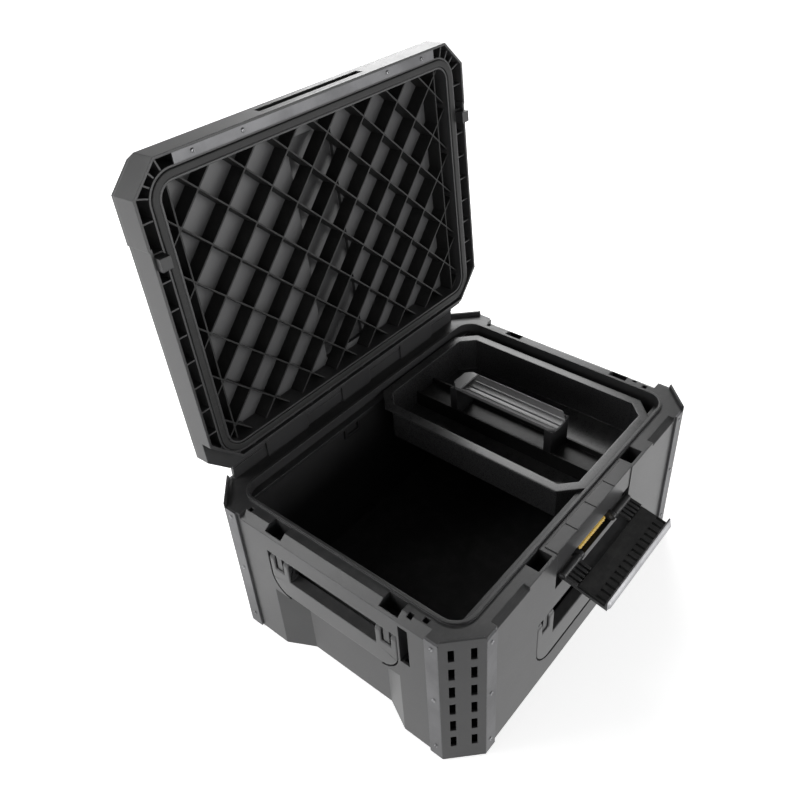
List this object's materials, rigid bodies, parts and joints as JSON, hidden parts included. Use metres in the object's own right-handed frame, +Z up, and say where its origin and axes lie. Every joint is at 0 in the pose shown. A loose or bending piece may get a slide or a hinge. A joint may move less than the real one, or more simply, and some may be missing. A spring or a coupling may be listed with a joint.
{
  "type": "tool box",
  "caption": "Open hinged tool box with slotted corner guards, drop handles, a front flap latch, a latticed lid and a sliding lift-out tray with a central grip.",
  "frame": {"origin": "middle of the tub's underside, on the surface the box stands on", "axes": "+X to the right seen from the front, -Y out of the latch face, +Z up"},
  "size_m": [0.5504, 0.513, 0.6601],
  "materials": {
    "shell": "textured satin",
    "trim": "matt",
    "guard": "matt",
    "handle": "satin",
    "tray": "satin",
    "rubber": "matt",
    "strip": "satin anodised grey",
    "steel": "satin",
    "catch": "gloss"
  },
  "bodies": {
    "tub": {"tub_shell": "shell", "hinge_pin": "steel", "guard_screws": "steel", "guard_strips": "strip", "latch_mount": "shell", "latch_pin": "steel", "latch_catch": "catch", "tray_rail_front": "trim", "tray_rail_rear": "trim", "rail_bracket": "trim", "corner_guard_front_left": "guard", "corner_guard_front_right": "guard", "corner_guard_rear_left": "guard", "corner_guard_rear_right": "guard", "left_handle_pins": "steel", "right_handle_pins": "steel", "front_handle_pins": "steel"},
    "lid": {"lid_shell": "shell", "lid_lattice": "trim", "lid_seal": "rubber", "lid_front_strip": "strip", "lid_strip_screws": "steel", "lid_strike": "trim", "lid_side_tabs": "trim", "lid_cleats": "shell"},
    "latch": {"latch_flap": "handle", "latch_pad": "rubber"},
    "left_handle": {"left_handle": "handle"},
    "right_handle": {"right_handle": "handle"},
    "front_handle": {"front_handle": "handle"},
    "tray": {"tray_shell": "tray", "tray_divider": "tray", "tray_handle": "trim", "tray_grip": "rubber"}
  },
  "joints": [
    {"name": "lid_hinge", "type": "hinge", "parent": "tub", "child": "lid", "pos_m": [0, 0.2055, 0.2555], "axis": [1, 0, 0], "range_deg": [0, 94.1]},
    {"name": "latch_hinge", "type": "hinge", "parent": "tub", "child": "latch", "pos_m": [0, -0.204, 0.178], "axis": [-1, 0, 0], "range_deg": [0, 102]},
    {"name": "left_handle_hinge", "type": "hinge", "parent": "tub", "child": "left_handle", "pos_m": [-0.263, 0, 0.174], "axis": [0, 1, 0], "range_deg": [0, 90]},
    {"name": "right_handle_hinge", "type": "hinge", "parent": "tub", "child": "right_handle", "pos_m": [0.263, 0, 0.174], "axis": [0, -1, 0], "range_deg": [0, 90]},
    {"name": "front_handle_hinge", "type": "hinge", "parent": "tub", "child": "front_handle", "pos_m": [0, -0.193, 0.112], "axis": [-1, 0, 0], "range_deg": [0, 90]},
    {"name": "tray_slide", "type": "slide", "parent": "tub", "child": "tray", "axis": [-1, 0, 0], "range_m": [0, 0.23]}
  ]
}
